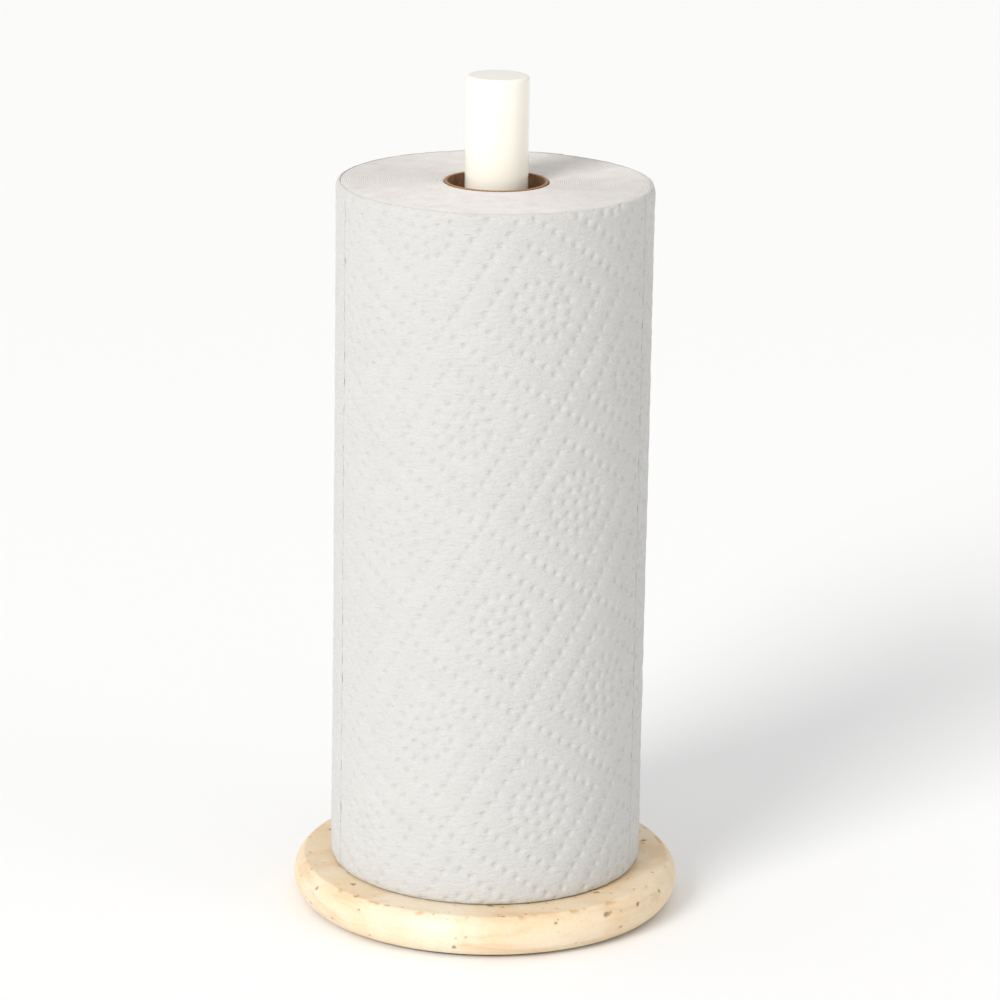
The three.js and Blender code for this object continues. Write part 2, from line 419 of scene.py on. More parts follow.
def cream_enamel(look):
    """Gloss enamel: a clear top over cream, with the faint waviness of a sprayed coat."""
    made = Recipe("cream_enamel", look.colour, look.roughness, Coat_Weight=0.6, Coat_Roughness=0.06)
    made.shader.inputs["Specular IOR Level"].default_value = 0.55
    depth = made.spread(made.noise(0.03, 2.0), 0.35, 0.65)
    made.feed("Base Color", made.blend(depth, look.colour, tuple(c * 0.975 for c in look.colour)))
    made.bump(made.noise(0.0022, 2.0), 0.00002)
    made.bump(made.noise(0.016, 1.0), 0.00012)
    return made.material


def towel_paper(look):
    """Soft embossed tissue: crepe ridges across the winding, stray fibres, and painted shade darkening
    the pressed dots.
    """
    made = Recipe("towel_paper", look.paper_colour, 0.96, Sheen_Weight=0.25, Sheen_Roughness=0.6)
    made.shader.inputs["Specular IOR Level"].default_value = 0.12
    crepe = made.noise(0.0012, 2.0, where=made.place((0.2, 1.0, 1.0), "sheet_map", -0.14), twist=0.3)
    fibre = made.noise(0.0014, 4.0, where=made.place((0.6, 1.0, 1.0), "sheet_map"), twist=1.6)
    mottle = made.noise(0.012, 3.0)
    pressed = made.attribute("pressed")
    # the darker colour serves both the paper's own random tone and the painted shade in the pressed dots
    shade = tuple(c * 0.93 for c in look.paper_colour)
    colour = made.blend(made.spread(mottle, 0.35, 0.7, 0, 0.5), look.paper_colour, shade)
    colour = made.blend(made.spread(fibre, 0.45, 0.75, 0, 0.35), colour, shade)
    # painted shade: the pressed dots are darkened by how deep they are pressed, as shade in the dimples
    colour = made.blend(made.spread(pressed, 0.1, 1.0, 0, 0.5), colour, shade)
    made.feed("Base Color", colour)
    made.bump(crepe, 0.0003)
    made.bump(fibre, 0.0004)
    made.bump(made.math("SUBTRACT", 1.0, pressed), 0.0002)
    return made.material


def wound_paper(look):
    """The cut ends of the wound paper: fine fibres, and painted shade darkening the lines between the
    turns.
    """
    made = Recipe("wound_paper_edge", look.edge_colour, 0.95, Sheen_Weight=0.15)
    made.shader.inputs["Specular IOR Level"].default_value = 0.1
    dark = tuple(c * 0.72 for c in look.edge_colour)
    fuzz = made.noise(0.0007, 3.0)
    mottle = made.noise(0.008, 3.0)
    colour = made.blend(made.spread(mottle, 0.3, 0.7, 0, 0.35), look.edge_colour, dark)
    # painted shade: the dips between the turns are darkened as if shaded
    colour = made.blend(made.spread(made.attribute("between"), 0.2, 1.0, 0, 0.7), colour, dark)
    colour = made.blend(made.spread(fuzz, 0.45, 0.8, 0, 0.3), colour, dark)
    made.feed("Base Color", colour)
    made.bump(fuzz, 0.00018)
    return made.material


def kraft_board(look):
    """Brown wound board: long fibres, flecks, a darker spiral seam, and a paler cut rim."""
    made = Recipe("kraft_board", look.board_colour, 0.88)
    made.shader.inputs["Specular IOR Level"].default_value = 0.2
    pale = tuple(c * 0.95 + 0.04 for c in look.board_colour)
    dark = tuple(c * 0.6 for c in look.board_colour)
    fibre = made.noise(0.0022, 4.0, where=made.place((1, 1, 0.4)), twist=0.8)
    fleck = made.noise(0.0009, 2.0)
    colour = made.blend(made.spread(fibre, 0.35, 0.7), look.board_colour, dark)
    colour = made.blend(made.spread(fleck, 0.62, 0.72, 0, 0.5), colour, pale)
    colour = made.blend(made.attribute("seam"), colour, dark)
    colour = made.blend(made.attribute("rim"), colour, pale)
    made.feed("Base Color", colour)
    made.bump(fibre, 0.0001)
    made.bump(fleck, 0.00006)
    return made.material


def pad_rubber(look):
    """Dark foam rubber with a fine open grain."""
    made = Recipe("pad_rubber", look.rubber_colour, 0.85)
    made.shader.inputs["Specular IOR Level"].default_value = 0.3
    cells = made.add("ShaderNodeTexVoronoi", {"Vector": made.place(), "Scale": 1 / 0.0006})
    pores = made.spread(cells.outputs["Distance"], 0.1, 0.5)
    dust = made.noise(0.009, 4.0)
    pale = tuple(c * 2.2 + 0.01 for c in look.rubber_colour)
    made.feed("Base Color", made.blend(made.spread(dust, 0.45, 0.8, 0, 0.6), look.rubber_colour, pale))
    made.bump(pores, 0.00008)
    return made.material


def zinc_steel(look):
    """Bright zinc plate over steel: a slightly mottled, satin metal."""
    made = Recipe("zinc_steel", look.metal_colour, 0.34, Metallic=1.0)
    spangle = made.add("ShaderNodeTexVoronoi", {"Vector": made.place(), "Scale": 1 / 0.0018})
    tone = made.add("ShaderNodeSeparateColor", {"Color": spangle.outputs["Color"]}).outputs["Red"]
    dull = tuple(c * 0.8 for c in look.metal_colour)
    made.feed("Base Color", made.blend(made.math("MULTIPLY", tone, 0.5), look.metal_colour, dull))
    made.feed("Roughness", made.spread(made.noise(0.0015, 3.0), 0.3, 0.7, 0.26, 0.44))
    made.bump(made.noise(0.0004, 2.0), 0.00001)
    return made.material


# ---------------------------------------------------------------- base

STONE_COLUMNS = 720
STONE_FINE = 0.7 * MM
STONE_COARSE = 1.25 * MM
STONE_ARRIS = 0.5 * MM
WIDTH_SPARE = 0.001 * MM


def stone_profile():
    """The stone's section: a flat underside, a circular bulge at the edge, a flat top, and the drilling.

    The bulge is an arc through the two arrises whose radius is (h^2 + b^2) / 2b, for half its height h
    and its swell b. Rows are close together near the edge, where the stone shows.
    """
    radius, _ = polar("base_stone")
    outer, drill = radius.max() - WIDTH_SPARE, radius.min()
    middle, half = (STONE_BOTTOM + STONE_TOP) / 2, (STONE_TOP - STONE_BOTTOM) / 2
    levels = np.unique(np.round(radius, 6))
    flat = flat_radius(radius)
    counterbore = levels[(levels > drill + MM) & (levels < outer / 2)].min()
    swell, edge_half = outer - flat - STONE_ARRIS, half - STONE_ARRIS
    arc_radius = (edge_half**2 + swell**2) / (2 * swell)
    sweep = math.asin(edge_half / arc_radius)
    angle = np.linspace(-sweep, sweep, 25)
    centre = outer - arc_radius
    bulge = np.stack([centre + arc_radius * np.cos(angle), middle + arc_radius * np.sin(angle)], axis=1)
    fine_from = ROLL_RADIUS - 3 * MM
    bevel = 0.25 * MM
    floor = counterbore_floor()
    low = refined(np.array([[counterbore + bevel, STONE_BOTTOM], [flat, STONE_BOTTOM]]), 2 * MM, False)
    top = refined(np.array([[flat, STONE_TOP], [fine_from, STONE_TOP]]), STONE_FINE, False)
    inner = refined(np.array([[fine_from, STONE_TOP], [drill + bevel, STONE_TOP]]), STONE_COARSE, False)
    hole = np.array(
        [
            [drill, STONE_TOP - bevel],
            [drill, floor],
            [counterbore - bevel, floor],
            [counterbore, floor - bevel],
            [counterbore, STONE_BOTTOM + bevel],
        ]
    )
    return np.concatenate([low, bulge, top, inner[1:], hole])


def flat_radius(radius):
    """How far out the stone's flat faces reach."""
    levels = np.unique(np.round(radius, 6))
    return levels[levels < radius.max() - 3 * MM].max()


def counterbore_floor():
    """Height of the counterbore's floor: just over the washer that bears on it."""
    _, washer_top = heights("rubber_washer")
    return washer_top + CAD_GAP


def pit_places(look):
    """Centres, sizes and stretch of the open pits, scattered over the top, edge and underside."""
    dice = np.random.default_rng(look.seed)
    radius, _ = polar("base_stone")
    outer = radius.max()
    count = look.pit_count
    angle = dice.uniform(0, TURN, count)
    away = outer * np.sqrt(dice.uniform(0.03, 1.0, count))
    level = np.where(dice.uniform(size=count) < 0.66, STONE_TOP, STONE_BOTTOM)
    on_edge = dice.uniform(size=count) < 0.36
    away = np.where(on_edge, outer - 1 * MM, away)
    level = np.where(on_edge, dice.uniform(STONE_BOTTOM, STONE_TOP, count), level)
    size = dice.gamma(2.0, 0.26, count) * MM
    stretch = dice.uniform(1.0, 2.2, count)
    turn = dice.normal(0, 0.5, count)
    centres = np.stack([away * np.cos(angle), away * np.sin(angle), level], axis=1)
    return centres, np.clip(size, 0.4 * MM, 1.3 * MM), stretch, angle + math.pi / 2 + turn


def pit_depth(points, look):
    """Share of the full pit depth at each point, from 0 to 1.

    Each pit is an ellipse with one long axis along the bed. A point's distance from its centre, in pit
    sizes and roughened by noise, gives a depth that falls from 1 to 0 at the rim.
    """
    depth = np.zeros(len(points))
    ragged = lattice_noise(points, 0.9 * MM, 11) * 0.35
    for centre, size, stretch, turn in zip(*pit_places(look)):
        away = points - centre
        close = (np.abs(away) < size * stretch * 1.6).all(axis=1)
        away = away[close]
        along = away[:, 0] * math.cos(turn) + away[:, 1] * math.sin(turn)
        rest = np.sqrt(np.maximum((away**2).sum(axis=1) - along**2, 0))
        distance = np.hypot(along / stretch, rest) / size + ragged[close]
        depth[close] = np.maximum(depth[close], 1 - smooth_step(0.35, 1.0, distance))
    return depth


def make_base_stone(look):
    """The travertine slab: its turned section, sunk along its own normal where a pit lies.

    The way in from any surface point is towards the slab's middle plane and axis: a mix of straight
    down on the flat faces and inwards on the edge. Chips are noise kept close to the upper arris, and a
    slow ripple keeps the honed faces from being true planes.
    """
    radius, _ = polar("base_stone")
    outer = radius.max()
    flat = flat_radius(radius)
    middle, half = (STONE_BOTTOM + STONE_TOP) / 2, (STONE_TOP - STONE_BOTTOM) / 2

    def worn(points):
        away = np.hypot(points[:, 0], points[:, 1])
        edge = smooth_step(outer - 4.6 * MM, outer - 3.4 * MM, away)
        inward = -points[:, :2] / np.maximum(away, 1e-9)[:, None] * edge[:, None]
        lift = (points[:, 2] - middle) / half
        down = -np.sign(lift) * (1 - edge * (1 - np.abs(lift) ** 3 * 0.6))
        reach = np.column_stack([inward, down])
        reach /= np.maximum(np.linalg.norm(reach, axis=1), 1e-9)[:, None]
        pits = pit_depth(points, look)
        buried = away < outer * 0.2
        pits[buried & (points[:, 2] < STONE_TOP - 0.1 * MM)] = 0
        arris = 1 - smooth_step(0.6 * MM, 2.2 * MM, np.hypot(away - flat, points[:, 2] - STONE_TOP))
        chips = smooth_step(0.3, 0.75, layered_noise(points, 5 * MM, 5)) * arris
        ripple = layered_noise(points, 14 * MM, 7, 2) * 0.03 * MM
        sunk = pits * look.pit_depth + chips * 0.45 * MM + np.maximum(ripple, 0)
        return points + reach * sunk[:, None], {"pit": pits, "chip": chips}

    piece = turned_piece("travertine_base", stone_profile(), STONE_COLUMNS, worn)
    return settle(piece, "holder", "travertine", travertine(look), "base_stone")


def ring_profile(node, bevel, gap=0.0):
    """The section of a flat ring node, with its four corners rounded."""
    radius, _ = polar(node)
    low, high = heights(node)
    inner, outer = radius.min(), radius.max()
    corners = [[inner, low], [outer, low], [outer, high - gap], [inner, high - gap]]
    return rounded(corners, [bevel] * 4, support=bevel / 2)


def make_base_pad(look):
    """The non-slip pad: a foam ring with soft edges and a shallow pattern of round grip bosses."""
    profile = refined(ring_profile("base_pad", 0.35 * MM), 1.1 * MM)
    low, _ = heights("base_pad")
    pitch = 5 * MM

    def gripped(points):
        row = np.round(points[:, 1] / (pitch * 0.866))
        shift = np.where(row % 2, pitch / 2, 0)
        column = np.round((points[:, 0] - shift) / pitch)
        across = points[:, 0] - column * pitch - shift
        distance = np.hypot(across, points[:, 1] - row * pitch * 0.866)
        under = points[:, 2] < low + 0.05 * MM
        points[:, 2] += np.where(under, smooth_step(1.2 * MM, 1.8 * MM, distance) * 0.3 * MM, 0)
        return points, {}

    piece = turned_piece("base_pad_ring", profile, 480, gripped)
    return settle(piece, "holder", "pad_rubber", pad_rubber(look), "base_pad")


def make_washers(look):
    """The gasket under the post, and the rubber, flat and spring washers over the screw's head."""
    rubber, steel = pad_rubber(look), zinc_steel(look)
    for node, slot, material, bevel in (
        ("post_gasket", "pad_rubber", rubber, 0.2 * MM),
        ("rubber_washer", "pad_rubber", rubber, 0.3 * MM),
        ("flat_washer", "zinc_steel", steel, 0.25 * MM),
    ):
        piece = turned_piece(node + "_ring", ring_profile(node, bevel), 96)
        settle(piece, "holder", slot, material, node)
    make_lock_washer(steel)


def make_lock_washer(material):
    """The split spring washer: a square section carried once round, less a slot, rising a little.

    The section's corners are rounded; its height rises in proportion to the angle, and each end is
    closed by a fan from the middle of the section.
    """
    rise = 0.3 * MM
    profile = ring_profile("lock_washer", 0.2 * MM, gap=rise)
    columns, slot = 90, 0.16
    share = np.linspace(0, 1, columns)
    angle = slot / 2 + share * (TURN - slot)
    radius, height = profile[:, :1], profile[:, 1:] + share * rise
    grid = around(radius, angle, height)
    ends = grid[:, [0, -1]].mean(axis=0)
    points = np.concatenate([grid.reshape(-1, 3), ends])
    rows = len(profile)
    row = np.arange(rows)
    ahead = (row + 1) % rows
    first, last = rows * columns, rows * columns + 1
    start_fan = np.stack([np.full(rows, first), row * columns, ahead * columns], axis=1)
    end_row, end_ahead = row * columns + columns - 1, ahead * columns + columns - 1
    end_fan = np.stack([np.full(rows, last), end_ahead, end_row], axis=1)
    quads = grid_quads(rows, columns, True, False)
    piece = add_piece("lock_washer_spring", points, quads, np.concatenate([start_fan, end_fan]))
    settle(piece, "holder", "zinc_steel", material, "lock_washer")


def make_fixing_screw(look):
    """The button-head screw: a turned head with a hexagon socket, and a helical thread on its shank.

    Round the axis, the socket's wall lies at half its width over the cosine of the angle from the
    nearest flat. The thread's radius is a triangle wave of height less pitch times turns.
    """
    radius, _ = polar("fixing_screw")
    low, high = heights("fixing_screw")
    head = radius.max()
    shank = 3 * MM
    socket, socket_depth, head_height = 2 * MM, 2 * MM, 3.3 * MM
    crown, dome_rise = 2.9 * MM, 2.3 * MM
    pitch, thread_depth = 1 * MM, 0.55 * MM
    face = [
        [0, low + socket_depth + 0.3 * MM],
        [socket, low + socket_depth],
        [socket, low + 0.15 * MM],
        [socket + 0.35 * MM, low],
    ]
    dome_angle = np.linspace(0, 1, 9) * math.pi / 2
    dome_radius = crown + (head - crown) * np.sin(dome_angle)
    dome_height = low + dome_rise * (1 - np.cos(dome_angle))
    top = low + head_height
    under = [
        [head, top - 0.2 * MM],
        [head - 0.2 * MM, top],
        [shank + 0.2 * MM, top],
        [shank, top + 0.2 * MM],
    ]
    turns = np.arange(top + 0.4 * MM, high - 0.9 * MM, pitch / 8)
    thread = np.stack([np.full(len(turns), shank), turns], axis=1)
    tip = [[shank - 0.9 * MM, high], [0, high]]
    profile = np.concatenate([face, np.stack([dome_radius, dome_height], axis=1), under, thread, tip])

    def cut(points):
        away, angle = about_axis(points)
        flat = np.mod(angle + math.pi / 6, math.pi / 3) - math.pi / 6
        in_socket = (away < socket + 0.1 * MM) & (points[:, 2] < low + socket_depth + 0.1 * MM)
        scale = np.where(in_socket, 1 / np.cos(flat), 1.0)
        on_thread = (points[:, 2] > top + 0.3 * MM) & (points[:, 2] < high - 0.5 * MM)
        wave = np.mod((points[:, 2] - top) / pitch - angle / TURN, 1)
        fade = smooth_step(top + 0.3 * MM, top + 2.5 * MM, points[:, 2])
        depth = np.abs(wave * 2 - 1) * thread_depth * fade
        scale = np.where(on_thread, 1 - depth / shank, scale)
        return moved_out(points, scale), {}

    piece = turned_piece("fixing_screw_m6", profile, 72, cut, closed=False)
    return settle(piece, "holder", "zinc_steel", zinc_steel(look), "fixing_screw")


def make_post_plug(look):
    """The threaded insert pressed into the tube: a ring with a chamfer and fine knurled ribs."""
    radius, _ = polar("post_plug")
    low, high = heights("post_plug")
    inner, outer = radius.min(), radius.max()
    corners = [[inner, low], [outer, low], [outer, high - MM], [outer - MM, high], [inner, high]]
    profile = refined(rounded(corners, [0.2 * MM] * 5, support=0.1 * MM), 1.5 * MM)

    def knurled(points):
        away, angle = about_axis(points)
        ribs = (np.cos(angle * 60) - 1) * 0.06 * MM * (away > outer - 0.1 * MM)
        scale = 1 + ribs / away
        return moved_out(points, scale), {}

    piece = turned_piece("post_plug_insert", profile, 360, knurled)
    return settle(piece, "holder", "zinc_steel", zinc_steel(look), "post_plug")


# ---------------------------------------------------------------- post


def make_post(look):
    """The enamelled tube: closed and softly rounded at the top, open at the bottom.

    The closed top rises a little towards its middle, as a spun end does, and the wall carries a
    slight waviness of a few hundredths of a millimetre.
    """
    radius, _ = polar("post_tube")
    low, high = heights("post_tube")
    outer = radius.max()
    wall, edge = 1.2 * MM, 1.5 * MM
    bore = outer - wall
    dome = 0.12 * MM
    inside = [[0, high - wall], [outer - edge, high - wall], [bore, high - edge], [bore, low + 0.3 * MM]]
    corners = np.array([[bore, low], [outer, low], [outer, high - dome], [0, high - dome]])
    outside = rounded(corners, [0.3 * MM, 0.3 * MM, edge, 0], steps=10)
    body = np.concatenate([np.array(inside[:3]), outside[:-1]])
    crown = np.array([[r * (outer - edge), high - dome * r * r] for r in (0.75, 0.5, 0.25)])
    profile = np.concatenate([refined(body, 4 * MM, False), crown, [[0, high]]])

    def wavy(points):
        away = np.hypot(points[:, 0], points[:, 1])
        low_wave = layered_noise(points, 40 * MM, 21, 2) * 0.02 * MM
        scale = 1 - np.where(away > bore + 0.2 * MM, np.abs(low_wave) / np.maximum(away, MM), 0)
        return moved_out(points, scale), {}

    piece = turned_piece("enamelled_post", profile, 192, wavy, closed=False)
    return settle(piece, "holder", "cream_enamel", cream_enamel(look), "post_tube")


# ---------------------------------------------------------------- roll

CORE_PITCH = 95 * MM
RIM_FALL = 0.35 * MM
RIM_REACH = 3.2 * MM
RIM_LEAN = 1.1 * MM
RIM_ROWS = np.array([0.6, 1.2, 2.0, 3.2]) * MM
WINDING_COLUMNS = 196
WINDING_SAMPLES = 205
WINDING_FILL = 0.2 * MM
PERFORATION_PITCH = 7.5 * MM
SLIT_REACH = 0.2 * MM
TIE_REACH = 0.095 * MM
LAST_TUCK = 4 * MM
TAIL_LIFT = 0.55 * MM
TAIL_REACH = 5 * MM
PILLOW = 0.3 * MM
PILLOW_REACH = 2.4 * MM
STRAY = 0.45 * MM
PATTERN_TILT = math.radians(-33)
PATTERN_ALONG, PATTERN_UP = 2 * MM, 199 * MM
SQUARES = ((0.5, 11), (0.325, 7))  # half side as a share of the cell, and steps between its dots
ROSETTE = ((0.205, 14), (0.105, 7))  # radius as a share of the cell, and dots round it


def make_core(look):
    """The cardboard core: a tube wound from strips, with a groove along the spiral seam inside.

    The seam is where height over the strip's pitch less the angle in turns is a whole number.
    """
    radius, _ = polar("roll_core")
    low, high = heights("roll_core")
    inner, outer = radius.min(), radius.max()
    corners = [[inner, low], [outer, low], [outer, high], [inner, high]]
    section = rounded(corners, [0.25 * MM] * 4, steps=3, support=0.1 * MM)
    profile = refined(section, 2.2 * MM)

    def wound(points):
        away, angle = about_axis(points)
        place = np.mod(points[:, 2] / CORE_PITCH - angle / TURN + 0.5, 1) - 0.5
        seam = 1 - smooth_step(0.3 * MM, 1.4 * MM, np.abs(place) * CORE_PITCH * 0.8)
        inside = away < inner + 0.2 * MM
        rim = smooth_step(0.25 * MM, 0.02 * MM, np.minimum(points[:, 2] - low, high - points[:, 2]))
        fray = layered_noise(points, 1.2 * MM, 31, 2) * 0.1 * MM * rim
        scale = 1 + np.where(inside, seam * 0.12 * MM / away, 0)
        points = moved_out(points, scale)
        points[:, 2] -= np.where(points[:, 2] > (low + high) / 2, np.abs(fray), -np.abs(fray))
        return points, {"seam": seam * inside * 0.7, "rim": rim * 0.8}

    piece = turned_piece("cardboard_core", profile, 256, wound)
    return settle(piece, "core", "core_board", kraft_board(look), "roll_core")


def roll_swell(points):
    """How far the paper stands out of a true round at each point: 0.3 mm in, give or take its waves."""
    return layered_noise(points * (1, 1, 0.6), 70 * MM, 41, 2) * 0.2 * MM - 0.3 * MM


def rim_lean(height):
    """How far the roll's side leans in near its two ends, as the square of the share of the reach."""
    near = np.minimum(height - ROLL_BOTTOM, ROLL_TOP - height)
    return np.clip(1 - near / RIM_REACH, 0, 1) ** 2 * RIM_LEAN


def make_winding(look):
    """The wound paper: two end faces of spiral turns, joined by plain walls inside and out.

    Its outside is the spiral one turn in, which falls evenly through a turn and climbs back over a
    short ramp past the free end; it fills part of the gap under the sheets. On an end face, the height
    dips between turns: the turn a point lies in is its radius over the turn's thickness less its angle
    in turns, and the dip is the fourth power of the cosine of half that phase. The rim is rounded down.
    """
    radius, _ = polar("paper_winding")
    low, high = heights("paper_winding")
    bore = radius.min()
    columns = WINDING_COLUMNS
    turned = np.arange(columns) * TURN / columns
    ramp = smooth_step(5 * MM / ROLL_RADIUS, 16 * MM / ROLL_RADIUS, turned)
    outline = TAIL_RADIUS - TURN_STEP * (1 + turned / TURN) - TURN_STEP * (1 - ramp)
    face = np.linspace(0, 1, WINDING_SAMPLES)
    side = np.concatenate([low + RIM_ROWS, np.linspace(low, high, 44)[1:-1], high - RIM_ROWS[::-1]])
    share = np.concatenate([face, side * 0 + 1, face[::-1]])[:, None]
    level = np.concatenate([face * 0 + low, side, face * 0 + high])[:, None]
    angle = TAIL_ANGLE + turned
    edge = around(ROLL_RADIUS, angle, level).reshape(-1, 3)
    reach = outline + roll_swell(edge).reshape(len(level), columns) - rim_lean(level) + WINDING_FILL
    away = bore + (reach - bore) * share
    points = around(away, angle, level).reshape(-1, 3)
    turns = away / look.turn_thickness - turned / TURN
    phase = turns.ravel() + layered_noise(points, 17 * MM, 51, 3) * 0.7
    on_end = np.repeat((level[:, 0] == low) | (level[:, 0] == high), columns)
    # the dip between turns is also stored to paint shade into the end faces' colour
    between = np.abs(np.cos(phase * math.pi)) ** 4 * on_end
    uneven = lattice_noise(np.column_stack([np.floor(phase), np.zeros((len(phase), 2))]), 1.0, 61)
    rim = (np.clip(1 - (reach - away) / RIM_REACH, 0, 1) ** 2).ravel()
    hub = (np.clip((bore + 2 * MM - away) / (2 * MM), 0, 1) ** 2).ravel()
    dip = between * 0.22 * MM + (uneven + 1) * 0.05 * MM + rim * RIM_FALL + hub * 0.35 * MM
    dip += (layered_noise(points, 22 * MM, 71, 2) + 1.5) * 0.06 * MM
    points[:, 2] += np.where(points[:, 2] > (low + high) / 2, -dip, dip) * on_end
    quads = grid_quads(len(share), columns, True, True)
    piece = add_piece("paper_winding_roll", points, quads, attributes={"between": between})
    return settle(piece, "paper", "wound_paper", wound_paper(look), "paper_winding")


def nearest_dot(along, away, half, count):
    """Distance to the nearest of count + 1 evenly spaced dots on the four sides of a square."""
    step = 2 * half / count
    spot = np.clip(np.round((along + half) / step), 0, count) * step - half
    return np.hypot(along - spot, np.abs(away) - half)


def ring_of_dots(first, second, radius, count):
    """Distance to the nearest of the dots spaced evenly round a circle."""
    distance, angle = np.hypot(first, second), np.arctan2(second, first)
    spot = np.round(angle * count / TURN) * TURN / count
    square = distance**2 + radius**2 - 2 * distance * radius * np.cos(angle - spot)
    return np.sqrt(np.maximum(square, 0))


def embossing(along, up, look):
    """How deep the pattern presses, and how far the paper pillows, at a point of the flat sheet.

    The sheet is covered by tilted square cells. Each has dots round its border, dots round a smaller
    square inside, and a rosette of two rings and a centre. The nearest dot's distance d, in dot
    radii, gives (1 - d^2)^2. Away from the dots the paper pillows out by 1 - exp(-(d / r)^2), r
    being the pillow's reach.
    """
    first = along * math.cos(PATTERN_TILT) + up * math.sin(PATTERN_TILT)
    second = up * math.cos(PATTERN_TILT) - along * math.sin(PATTERN_TILT)
    cell = look.cell_size
    first = np.mod(first + cell / 2, cell) - cell / 2
    second = np.mod(second + cell / 2, cell) - cell / 2
    distances = [np.hypot(first, second)]
    for half, count in SQUARES:
        distances.append(nearest_dot(first, second, cell * half, count))
        distances.append(nearest_dot(second, first, cell * half, count))
    for radius, count in ROSETTE:
        distances.append(ring_of_dots(first, second, cell * radius, count))
    nearest = np.min(distances, axis=0)
    pressed = np.clip(1 - (nearest / look.dot_radius) ** 2, 0, 1) ** 2
    pillow = 1 - np.exp(-((nearest / PILLOW_REACH) ** 2))
    return pressed, pillow


def sheet_rows(low, high, spacing, thickness):
    """Heights up the outside, over the top edge, down the inside and under the bottom edge.

    Gives each row's height and its depth behind the sheet's face; the edges are half circles.
    """
    round_edge = thickness / 2
    outside = np.linspace(low + round_edge, high - round_edge, math.ceil((high - low) / spacing))
    inside = np.linspace(high - round_edge, low + round_edge, 9)
    bend = np.linspace(0, math.pi, 6)[1:-1]
    over = round_edge * np.sin(bend)
    behind = round_edge * (1 - np.cos(bend))
    height = np.concatenate([outside, high - round_edge + over, inside, low + round_edge - over[::-1]])
    depth = np.concatenate([outside * 0, behind, inside * 0 + thickness, behind[::-1]])
    return height, depth, len(outside)


def side_strips(rows, outside, columns):
    """Triangles that close the two side edges of a sheet.

    Each row of the face is matched to the back row at the same share of the height. A triangle spans
    each two face rows, and one more spans the back wherever the match moves on.
    """
    face = np.arange(outside)
    back = np.arange(outside, rows)
    match = back[np.round((1 - face / (outside - 1)) * (len(back) - 1)).astype(int)]
    change = np.nonzero(match[:-1] != match[1:])[0]
    strips = np.concatenate(
        [
            np.stack([face[:-1], face[1:], match[:-1]], axis=1),
            np.stack([face[change + 1], match[change + 1], match[change]], axis=1),
        ]
    )
    start, end = strips * columns, strips[:, ::-1] * columns + columns - 1
    return np.concatenate([start, end])


